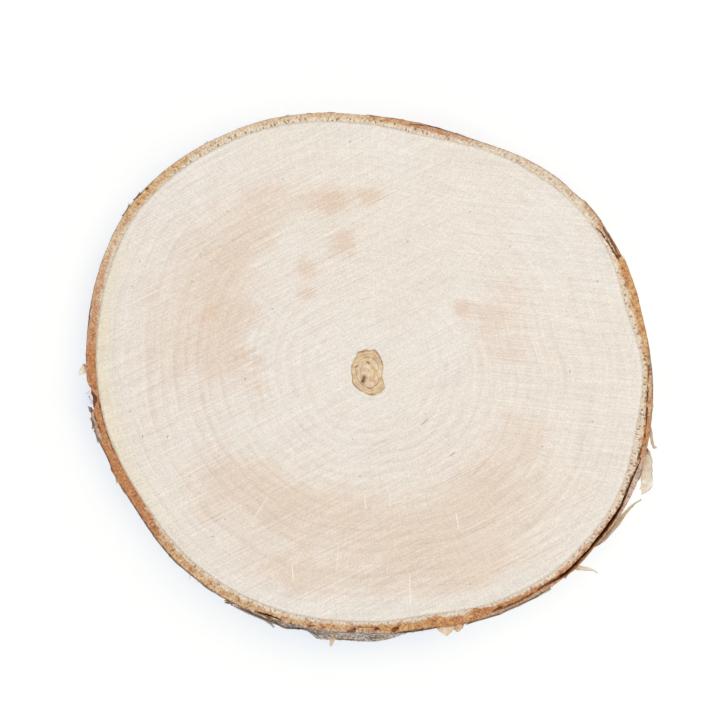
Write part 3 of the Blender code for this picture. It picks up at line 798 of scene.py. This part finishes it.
def make_wood(look):
    """The disc. Its rows of points are circles at the pith and follow the trunk's outline at the rim, as the
    growth rings do."""
    columns = 400
    angle = (np.arange(columns) * 360 / columns)[:, None]
    core = np.arange(0.4, 10.01, 0.4) * MM
    share = np.linspace(0, 1, 81)[1:]
    rim = wood_radius(angle)
    mean = float(rim.mean())
    cores = np.broadcast_to(core, (columns, core.size))
    top = np.concatenate([cores, core[-1] + (rim - core[-1]) * share], 1)
    level = np.concatenate([core, core[-1] + (mean - core[-1]) * share])
    picked = np.arange(top.shape[1])[::-3]
    under = top[:, picked]
    side_heights = np.linspace(THICKNESS, 0, 6)[1:-1]
    radius = np.concatenate([top, np.repeat(rim, side_heights.size, 1), under], 1)
    growth = np.concatenate([level, np.full(side_heights.size, mean), level[picked]]) / MM
    height = np.concatenate([np.full(top.shape[1], THICKNESS), side_heights, np.zeros(picked.size)])
    rows = radius.shape[1]
    points = round_points(angle, radius, np.broadcast_to(height, radius.shape)).copy()

    # The pith lies a little below the sawn face
    across, up = points[..., 0] / MM - PITH_MIDDLE[0], points[..., 1] / MM - PITH_MIDDLE[1]
    pith_angle = np.degrees(np.arctan2(up, across)) % 360
    pith = np.hypot(across, up) / round_trunk(pith_angle, PITH_OUTLINE)
    sunk = PITH_HOLLOW * eased(-pith, -1.0, -0.9) * (0.6 + 0.5 * cloud(points, 2.5 * MM))
    points[:, : top.shape[1], 2] -= sunk[:, : top.shape[1]]

    faces = net(columns, rows, True, False)
    ends = columns * rows
    for column in range(columns):
        beside = (column + 1) % columns
        faces.append([ends, column * rows, beside * rows])
        faces.append([ends + 1, beside * rows + rows - 1, column * rows + rows - 1])
    flat = np.concatenate([points.reshape(-1, 3), [[0, 0, THICKNESS - PITH_HOLLOW / 2], [0, 0, 0]]])

    x, y = flat[:, 0] / MM, flat[:, 1] / MM
    around = np.degrees(np.arctan2(y, x)) % 360
    grown = np.append(np.broadcast_to(growth, (columns, rows)).ravel(), (0, 0))
    to_rim = (wood_radius(around) - np.hypot(flat[:, 0], flat[:, 1])) / MM
    stain = sum(
        weight * np.exp(-(((grown - far) / half) ** 2) - (turn(around - centre) / span) ** 4)
        for far, half, centre, span, weight in STAIN_ARCS
    )
    stain = stain + sum(weight * blot(x, y, *shape) for *shape, weight in STAIN_BLOTS)
    spot = np.max([blot(x, y, *shape) for shape in STAIN_SPOTS], 0)
    meeting = np.interp(y, *zip(*SAW_MEETING))
    return add_piece(
        "sawn_wood",
        flat,
        faces,
        look,
        "sawn_birch_wood",
        "wood",
        growth=grown,
        rim=to_rim,
        pith=np.append(pith.ravel(), (0, 0)),
        figure=round_trunk(around, RING_STRENGTH) * eased(grown, 9, 34),
        stain=stain * eased(to_rim, 1.5, 9),
        spot=spot,
        saw_side=eased(x - meeting, -SAW_BLEND, SAW_BLEND),
        yellow=0.75 * round_trunk(around, YELLOW) * eased(-to_rim, -9, -1),
    )


def bark_marks(angle, points):
    """How orange, dotted, cracked, cream and ashen the bark is at each point, with painted shade down the gap
    and notch walls.
    """
    inward = (outline(angle) - np.hypot(points[..., 0], points[..., 1])) / MM
    deep = round_trunk(angle, RUST_DEPTH)
    wander = 0.2 * cloud(points, 2.2 * MM, 3, shift=17.0)
    wavy = inward + 0.5 * cloud(points * (1, 1, 0.2), 4 * MM, 3, shift=23.0)
    cracks = 0
    for centre, span, at, slope, wide, weight in CRACKS:
        away = turn(angle - centre)
        off = inward - at - slope * away - 1.6 * wander
        cracks = cracks + weight * np.exp(-((away / span) ** 4) - (off / wide) ** 2)
    # Painted shade: the walls of the open gap and of the notch take the red-brown crack colour, stronger
    # further below the sawn top
    gape = 0.45 * np.clip(swells(angle, PARTED) / (0.3 * MM), 0, 1)
    torn = 1.2 * np.exp(-((turn(angle - NOTCH_ANGLE - 0.3) / 1.7) ** 2))
    below = THICKNESS - points[..., 2]
    wall_colour_and_shade = (gape * (inward > 0.5) + torn) * eased(below, 0.3 * MM, 1.8 * MM)
    cream_end = wavy - round_trunk(angle, CREAM_DEPTH)
    ashen_end = wavy - round_trunk(angle, ASHEN_DEPTH)
    return {
        "rust": round_trunk(angle, RUST) * (1 - eased(inward + 4 * wander, deep - 0.7, deep + 0.9)),
        "dots": round_trunk(angle, DOTS) * eased(inward, 1.1, 2.1),
        "crack_and_wall_shade": cracks * (0.85 + 0.7 * cloud(points, 1.1 * MM, 2)) + wall_colour_and_shade,
        "red": round_trunk(angle, RED),
        "cream": round_trunk(angle, CREAM) * (1 - eased(cream_end, -0.4, 0.4)),
        "ashen": round_trunk(angle, ASHEN) * (1 - eased(ashen_end, -0.5, 0.5)),
    }


def make_inner_bark(look):
    """The ring of inner bark, grainy where it is sawn, and crumbling where the outer bark has parted."""
    columns = 1440
    angle = (NOTCH_ANGLE + np.arange(columns) * 360 / columns)[:, None] % 360
    tuck = 0.25 * MM
    sink = 0.03 * MM
    on_top, under = 17, 5
    share = np.linspace(0, 1, on_top)
    sides = np.array((0.976, 0.93, 0.87, 0.8, 0.6, 0.4, 0.2))
    back = sides[::-2]
    height = np.concatenate(
        [np.full(on_top, THICKNESS - sink), sides * THICKNESS, np.full(under, sink), back * THICKNESS]
    )
    across = np.concatenate([share, np.ones(sides.size), np.linspace(1, 0, under), np.zeros(back.size)])
    open_top = near_top(height)
    parted = swells(angle, PARTED) * open_top
    crumbs = cloud(round_points(angle, BARK_RADIUS, height), 1.6 * MM, 4)
    inside = wood_radius(angle) - tuck
    torn_dip = 1.35 * NOTCH_DIP * np.exp(-((turn(angle - NOTCH_ANGLE) / 1.8) ** 2))
    torn_dip = torn_dip * (0.3 + 0.7 * open_top)
    outside = paper_inside(angle, height) - GAP - parted + 0.55 * notch(angle) - torn_dip
    outside = outside + crumbs * (0.12 * MM + 0.4 * parted)
    radius = inside + (outside - inside) * across
    points = round_points(angle, radius, height).copy()
    marks = bark_marks(angle, points)
    grain = cloud(points, 1.3 * MM, 3, shift=4.0)
    low = 0.05 * MM - 0.1 * MM * grain + 0.5 * MM * marks["crack_and_wall_shade"]
    points[:, 1:on_top, 2] -= np.clip(low, 0, None)[:, 1:on_top]
    faces = net(columns, height.size, True, True)
    add_piece("inner_bark_ring", points, faces, look, "birch_inner_bark", "inner_bark", **marks)


def make_outer_bark(look):
    """The papery bark, wound round the trunk from the notch to the notch in torn layers."""
    columns, side_rows = 1340, 42
    start = NOTCH_ANGLE + NOTCH_HALF
    angle = (start + np.linspace(0, 360 - 2 * NOTCH_HALF, columns))[:, None]
    rim_share = np.linspace(0, 1, 9)
    side = np.linspace(1, 0, side_rows)[1:-1]
    share = np.concatenate([np.ones(9), side, np.zeros(3), [0.35, 0.7]])
    skin = np.concatenate([rim_share, np.ones(side.size), rim_share[::-4], np.zeros(2)])
    around = round_points(angle, BARK_RADIUS, share * THICKNESS)
    drop = 0.1 * MM + 0.1 * MM * cloud(around, 3.5 * MM, 4)
    drop = np.clip(drop, 0.03 * MM, None)
    # Where the edge is dark, the outermost crust has broken off unevenly below the sawn faces
    weak = round_trunk(angle, CRUST)
    broken = eased(cloud(around * (1, 1, 0.1), 2.4 * MM, 4, shift=31.0) + 1.1 * weak, 0.75, 1.2)
    drop = drop + 0.5 * MM * broken * eased(skin, 0.7, 1.0)
    height = drop + share * (THICKNESS - 2 * drop)

    # Torn layers: each step outward is a sheet, whose edge stands off a little
    stretched = around * (1, 1, 3.2)
    sheets = 2.4 * (cloud(stretched, 26 * MM, 4, shift=9.0) + 1)
    number = np.floor(sheets)
    rest = sheets - number
    torn = np.exp(-rest / 0.07)
    relief = 0.28 * MM * (number - 2.5) + 0.22 * MM * torn
    relief = np.clip(relief, -0.5 * MM, 0.7 * MM)
    relief = relief + 0.16 * MM * cloud(around * (1, 1, 2), 3 * MM, 4)
    relief = relief * (1 - 0.7 * eased(share, 0.86, 1.0))
    # Its two ends at the notch are torn away to a slope
    from_end = np.minimum(angle - angle[0], angle[-1] - angle) + 0.5 * cloud(around, 2.5 * MM, 3)
    relief = relief - 1.1 * MM * (1 - eased(from_end, 0, 1.4))
    # Its inner edge lies over the inner bark's, except where the two have parted
    joined = 1 - np.clip(swells(angle, PARTED) / (0.2 * MM), 0, 1)
    inside = paper_inside(angle, height) - 0.65 * MM * joined + swells(angle, WORN_INSIDE) * near_top(height)
    inside = inside + 0.1 * MM * cloud(around, 2 * MM)
    outside = np.maximum(bark_face(angle % 360, height) + relief, inside + 0.25 * MM)
    radius = inside + (outside - inside) * skin
    points = round_points(angle, radius, height)
    rows = share.size
    faces = net(columns, rows, False, True)
    faces += [list(range(rows)), [(columns - 1) * rows + row for row in reversed(range(rows))]]
    old = np.exp(-((turn(angle - PLATE_ANGLE) / 26) ** 4)) + 0.5 * np.exp(-((turn(angle - 142) / 10) ** 2))
    add_piece(
        "outer_bark_sheet",
        points,
        faces,
        look,
        "birch_paper_bark",
        "outer_bark",
        skin=skin,
        layer=(number * 0.377) % 1,
        edge=torn * skin,
        dark=weak,
        old=old,
        **bark_marks(angle, points),
    )


def sheet_net(shape, seed):
    """One thin torn sheet that hugs the bark, with its ends and its top edge standing off."""
    centre, half, low, high, first_end, other_end, top, tone = shape
    columns, rows = max(12, round(half * 5)), 15
    u = np.linspace(-1, 1, columns)[:, None]
    v = np.linspace(0, 1, rows)[None]
    edge = np.concatenate([u * 7, u * 0 + seed * 1.7, u * 0], 1)
    torn_low = 2.2 * MM * cloud(edge * 0.35, 1.0, 5)
    torn_high = 1.4 * MM * cloud(edge * 0.35, 1.0, 5, shift=11.0) * (high < THICKNESS - MM)
    left, right = (
        0.55 * cloud(np.stack([v[0] * 4, v[0] * 0 + seed, v[0] * 0 + row], -1), 1.0, 4) for row in (0, 7)
    )
    angle = centre + half * (u + np.where(u < 0, left, right) * np.abs(u) ** 2)
    bottom = low + torn_low[:, None]
    height = bottom + (high + torn_high[:, None] - bottom) * v
    off = np.where(u < 0, first_end, other_end) * np.abs(u) ** 2.5 + top * v ** 3
    off = off + 0.14 * MM * cloud(round_points(angle, BARK_RADIUS, height), 5 * MM, 3)
    centre_line = bark_face(angle % 360, height) + off
    thin = 0.22 * MM * (1 - 0.5 * np.abs(u) ** 6)
    outer = round_points(angle, centre_line + thin / 2, height)
    inner = round_points(angle, centre_line - thin / 2, height)
    section = np.concatenate([outer, inner[:, ::-1]], 1)
    return section, {
        "outside": np.repeat((1, 0), rows),
        "across": np.concatenate([v[0], v[0, ::-1]]) - 0.5,
        "root": 0.6 + 0.4 * u,
        "tone": tone,
        "fold": 0,
    }


def strip_net(shape, seed):
    """One thin torn strip that leaves the bark's face, curls and leans. Returns its points and values."""
    angle, height, length, width, taper, way, lift, curl, lean, last_lean, tip, tone = shape
    along, across = STRIP_ALONG, STRIP_ACROSS
    share = np.linspace(0, 1, along + 1)
    bend = lift + curl * share ** 2 + tip * eased(share, 1 - TIP_SHARE, 1.0)
    heading = np.radians(angle + way * (90 - bend))
    step = np.stack([np.cos(heading), np.sin(heading), np.zeros_like(heading)], -1) * (length / along)
    root = float(bark_face(angle, height)) - STRIP_SUNK
    first = round_points(angle, root, height)
    centre = first + np.concatenate([[[0, 0, 0]], np.cumsum(step[:-1], 0)])
    out = np.stack([np.sin(heading), -np.cos(heading), np.zeros_like(heading)], -1) * way
    # A strip that leaves the bark steeply leans from its root on
    steep = min(1, max(0, (lift - 20) / 30))
    leaning = steep + (1 - steep) * eased(share, 0, 0.25)
    tilt = np.radians(lean * leaning + (last_lean - lean) * eased(share, 0.45, 0.8))[:, None]
    rise = out * np.sin(tilt) + np.array((0, 0, 1)) * np.cos(tilt)
    front = out * np.cos(tilt) - np.array((0, 0, 1)) * np.sin(tilt)
    spread = np.linspace(-0.5, 0.5, across)
    wide = width * (1 - taper * share ** 1.4) * (1 - (1 - STRIP_TIP) * share ** 5)
    line = np.stack([share * 9, np.full_like(share, seed * 3.1), np.zeros_like(share)], -1)
    low = 1 + 0.22 * cloud(line, 1.0, 3)
    high = 1 + 0.22 * cloud(line, 1.0, 3, shift=20.0)
    reach = np.where(spread < 0, low[:, None], high[:, None]) * spread * wide[:, None]
    points = centre[:, None] + rise[:, None] * reach[..., None]
    torn = 0.1 * length * cloud(np.stack([spread * 5, spread * 0 + seed, spread * 0], -1), 1.0, 3)
    points = points + step[:, None] * (torn[None, :, None] * share[:, None, None] ** 3 / (length / along))
    cup = 0.35 * MM * cloud(points, 4 * MM, 2) + 0.25 * MM * (1 - (2 * spread) ** 2)
    cup = cup * share[:, None]
    points = points + front[:, None] * cup[..., None]
    thin = STRIP_THICK * (1 - 0.6 * np.abs(2 * spread) ** 3) * (1 - 0.4 * share[:, None])
    half = front[:, None] * (thin / 2)[..., None]
    section = np.concatenate([points + half, (points - half)[:, ::-1]], 1)
    fold = min(1, abs(tip) / 60) * np.exp(-(((share - 1 + 0.7 * TIP_SHARE) / 0.035) ** 2))
    return section, {
        "outside": np.repeat((1, 0), across),
        "across": np.concatenate([spread, spread[::-1]]),
        "root": share[:, None],
        "tone": tone,
        "fold": fold[:, None],
    }


def strip_faces(columns, rows, way):
    """Faces of a closed flat tube with ends, turned the right way out."""
    faces = net(columns, rows, False, True)
    half = rows // 2
    for column, flip in ((0, False), (columns - 1, True)):
        for row in range(half - 1):
            corners = [column * rows + at for at in (row, rows - 1 - row, rows - 2 - row, row + 1)]
            faces.append(corners[::-1] if flip else corners)
    return [face[::-1] for face in faces] if way > 0 else faces


def add_strips(name, shapes, look, make_net=strip_net):
    """One piece of several strips or sheets."""
    points, faces, values = [], [], {}
    for seed, shape in enumerate(shapes):
        section, given = make_net(shape, seed)
        start = sum(len(part) for part in points)
        columns, rows = section.shape[:2]
        way = shape[5] if make_net is strip_net else 1
        faces += [[start + corner for corner in face] for face in strip_faces(columns, rows, way)]
        points.append(section.reshape(-1, 3))
        for key, data in given.items():
            values.setdefault(key, []).append(np.broadcast_to(data, (columns, rows)).ravel())
    joined = {key: np.concatenate(parts) for key, parts in values.items()}
    return add_piece(name, np.concatenate(points), faces, look, "birch_paper_bark", None, **joined)


def flakes():
    """Shapes of the small strips round the side, where the solids have them."""
    draw = random.Random(SEED + 1)
    tones = random.Random(SEED + 5)
    for number in range(FLAKES):
        angle = (number + draw.uniform(-SHIFT, SHIFT)) * 360 / FLAKES
        if abs(turn(angle - NOTCH_ANGLE)) < 3 * NOTCH_HALF or abs(turn(angle - PLATE_ANGLE)) < PLATE_HALF:
            continue
        sizes = [draw.uniform(*limits) for limits in (FLAKE_HEIGHT, FLAKE_LENGTH, FLAKE_WIDTH)]
        way = draw.choice((-1, 1))
        lift, curl, lean = [draw.uniform(*limits) for limits in (FLAKE_LIFT, FLAKE_CURL, FLAKE_LEAN)]
        # On the upper side they lie flat
        calm = 0.35 if 8 < angle < 176 else 1.0
        tip = tones.uniform(0, 60) * calm
        yield angle, *sizes, 0.3, way, lift * calm, curl * calm, lean, lean, tip, tones.uniform(0.3, 0.9)


def grown_piece(name, seeds, tree, sizes, slot):
    """Runs a tree of geometry nodes on a set of placed points, and keeps its result as a plain mesh.
    Each seed has a place, a direction out of the bark, a direction along it, and a size."""
    places, outward, along, size = seeds
    mesh = bpy.data.meshes.new(name)
    mesh.from_pydata(np.asarray(places).tolist(), [], [])
    for key, kind, field, data in (
        ("outward", "FLOAT_VECTOR", "vector", outward),
        ("along", "FLOAT_VECTOR", "vector", along),
        ("size", "FLOAT", "value", size),
    ):
        flat = np.asarray(data, np.float32).ravel()
        mesh.attributes.new(key, kind, "POINT").data.foreach_set(field, flat)
    made = bpy.data.objects.new(name, mesh)
    bpy.context.scene.collection.objects.link(made)
    growing = made.modifiers.new("grown", "NODES")
    growing.node_group = tree
    for socket in tree.interface.items_tree:
        if socket.name in sizes:
            growing[socket.identifier] = sizes[socket.name]
    graph = bpy.context.evaluated_depsgraph_get()
    result = bpy.data.meshes.new_from_object(made.evaluated_get(graph))
    made.modifiers.clear()
    made.data = result
    result.shade_smooth()
    place_piece(made, slot)


def seeded_tree(name, lengths):
    """A tree of geometry nodes with a seed and some lengths as named inputs. Returns it, a way to add nodes
    to it, its inputs, and the turn and size of each seeded point."""
    tree = bpy.data.node_groups.new(name, "GeometryNodeTree")
    node = partial(add, tree)
    tree.interface.new_socket("Geometry", in_out="OUTPUT", socket_type="NodeSocketGeometry")
    for key, kind in (("Geometry", "Geometry"), *[(length, "Float") for length in lengths], ("Seed", "Int")):
        tree.interface.new_socket(key, in_out="INPUT", socket_type="NodeSocket" + kind)
    given = tree.nodes.new("NodeGroupInput").outputs
    outward, along = (node(NAMED, {"Name": key}, data_type="FLOAT_VECTOR") for key in ("outward", "along"))
    turned = node("FunctionNodeAxesToRotation", outward, along, primary_axis="Z", secondary_axis="X")
    return tree, node, given, turned, node(NAMED, {"Name": "size"}, data_type="FLOAT")


def end_tree(node, given, shape, turned, scale, look):
    """Sets a shape on each seeded point, and makes them all one mesh of one material."""
    placed = {"Points": given["Geometry"], "Instance": shape, "Rotation": turned, "Scale": scale}
    instances = node("GeometryNodeInstanceOnPoints", placed)
    real = node("GeometryNodeRealizeInstances", {"Geometry": instances})
    dressed = node("GeometryNodeSetMaterial", {"Geometry": real, "Material": look})
    node("NodeGroupOutput", {"Geometry": dressed}, out=None)


def lenticel_tree(look):
    """A flattened, pointed bead on each seed, as long as the seed's size."""
    tree, node, given, turned, size = seeded_tree("lenticels", ("Height", "Rise"))
    uneven = node("FunctionNodeRandomValue", {2: 0.6, 3: 1.3, "Seed": given["Seed"]}, out=1)
    tall = node(MATH, given["Height"], uneven, **TIMES)
    scale = node("ShaderNodeCombineXYZ", size, tall, given["Rise"])
    bead = node("GeometryNodeMeshUVSphere", {"Segments": 10, "Rings": 5, "Radius": 1.0})
    end_tree(node, given, bead, turned, scale, look)
    return tree


def fibre_tree(look):
    """A thin bent fibre on each seed, as long as the seed's size, leaving the bark at a slant."""
    tree, node, given, turned, size = seeded_tree("torn_fibres", ("Thickness",))
    path = {"Resolution": 5, "Start": (0, 0, -0.1), "Middle": (0.55, 0, 0.1), "End": (0.9, 0.1, 0.45)}
    bent = node("GeometryNodeCurveQuadraticBezier", path)
    section = node("GeometryNodeCurvePrimitiveCircle", {"Resolution": 4, "Radius": 1.0})
    slim = node(MATH, given["Thickness"], 2.5 * MM, **OVER)
    swept = {"Curve": bent, "Profile Curve": section, "Scale": slim, "Fill Caps": True}
    fibre = node("GeometryNodeCurveToMesh", swept)
    limits = {0: (-0.5, -0.6, -1.0), 1: (0.5, 0.6, 1.0), "Seed": given["Seed"]}
    spin = node("FunctionNodeRandomValue", limits, data_type="FLOAT_VECTOR")
    spin = node("FunctionNodeEulerToRotation", spin)
    turned = node("FunctionNodeRotateRotation", turned, spin, rotation_space="LOCAL")
    end_tree(node, given, fibre, turned, size, look)
    return tree


def bark_seeds(places):
    """Places on the bark's face, its outward direction there, and the level direction along it."""
    angle, height = np.array(places)[:, 0], np.array(places)[:, 1]
    ahead = round_points(angle + 0.5, bark_face((angle + 0.5) % 360, height), height)
    behind = round_points(angle - 0.5, bark_face((angle - 0.5) % 360, height), height)
    along = ahead - behind
    along /= np.linalg.norm(along, axis=1)[:, None]
    outward = np.stack([along[:, 1], -along[:, 0], along[:, 2] * 0], 1)
    return round_points(angle, bark_face(angle % 360, height), height), outward, along


def add_lenticels(look):
    """Lenticels: level beads of cork in the bark's face, longer where the trunk has stretched them."""
    draw = random.Random(SEED)
    places = []
    for _ in range(LENTICELS):
        angle = draw.uniform(0, 360)
        if abs(turn(angle - NOTCH_ANGLE)) > 2 * NOTCH_HALF:
            height = draw.uniform(1.5, 23) * MM
            places.append((angle, height, draw.uniform(*LENTICEL_HALF) * MM * draw.uniform(0.5, 1)))
    spots, outward, along = bark_seeds(places)
    sizes = {"Height": LENTICEL_HEIGHT, "Rise": LENTICEL_RISE, "Seed": SEED}
    seeds = (spots, outward, along, [place[2] for place in places])
    grown_piece("lenticels", seeds, lenticel_tree(look), sizes, "birch_paper_bark")


def add_fibres(look):
    """Fibres torn loose at the bark's sawn edges."""
    draw = random.Random(SEED + 3)
    places = []
    for _ in range(FIBRES):
        centre, half = draw.choice(FIBRE_PLACES)
        level = draw.uniform(3, 23)
        places.append((centre + draw.uniform(-half, half), level * MM, draw.uniform(*FIBRE_LENGTH) * MM))
    spots, outward, along = bark_seeds(places)
    way = np.array([[draw.choice((-1, 1))] for _ in places])
    sizes = {"Thickness": FIBRE_THICK, "Seed": SEED}
    seeds = (spots, outward, along * way, [place[2] for place in places])
    grown_piece("torn_fibres", seeds, fibre_tree(look), sizes, "birch_paper_bark")


def make_floor(look):
    """A wide floor, just under the slice."""
    mesh = bpy.data.meshes.new("floor")
    half, low = 20, -0.4 * MM
    corners = [(-half, -half, low), (half, -half, low), (half, half, low), (-half, half, low)]
    mesh.from_pydata(corners, [], [(0, 1, 2, 3)])
    mesh.materials.append(look)
    made = bpy.data.objects.new("floor", mesh)
    bpy.context.scene.collection.objects.link(made)
    made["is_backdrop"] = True


def add_light(name, place, size, power, tint):
    """A soft panel that faces the slice."""
    data = bpy.data.lights.new(name, "AREA")
    data.shape = "SQUARE"
    data.size = size
    data.energy = power
    data.color = colour(tint)[:3]
    made = bpy.data.objects.new(name, data)
    made.location = place
    made.rotation_mode = "QUATERNION"
    made.rotation_quaternion = (-Vector(place)).to_track_quat("-Z", "Y")
    bpy.context.scene.collection.objects.link(made)


def make_studio():
    """White surroundings, two big soft panels overhead, and the camera straight above."""
    world = bpy.data.worlds.new("white studio")
    world.use_nodes = True
    background = world.node_tree.nodes["Background"]
    background.inputs["Color"].default_value = colour("#FFFFFF")
    background.inputs["Strength"].default_value = 0.6
    scene = bpy.context.scene
    scene.world = world
    add_light("main_panel", (0.3, 0.5, 1.4), 1.2, 8, "#FFFDF8")
    add_light("side_panel", (0.3, -0.5, 1.3), 1.0, 4, "#FBFCFF")
    lens = bpy.data.cameras.new("camera")
    lens.sensor_width = 36
    lens.lens = 112.5
    camera = bpy.data.objects.new("camera", lens)
    camera.location = (-3.0 * MM, 4.6 * MM, 0.925)
    scene.collection.objects.link(camera)
    scene.camera = camera
    scene.view_settings.view_transform = "Standard"


make_studio()
make_floor(floor_look())
make_wood(sawn_wood())
make_inner_bark(inner_bark_look())
make_outer_bark(paper_bark_look())
curled = strip_look()
add_strips("peeling_strips", in_metres(STRIPS, 1, 4), curled)
add_strips("bark_flakes", list(flakes()), curled)
add_strips("paper_sheets", in_metres(SHEETS, 2, 7), curled, sheet_net)
add_lenticels(lenticel_look())
add_fibres(fibre_look())

boxes = {"cad": cad_box, "visual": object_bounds()}
{name: [list(corner) for corner in box] for name, box in boxes.items()}
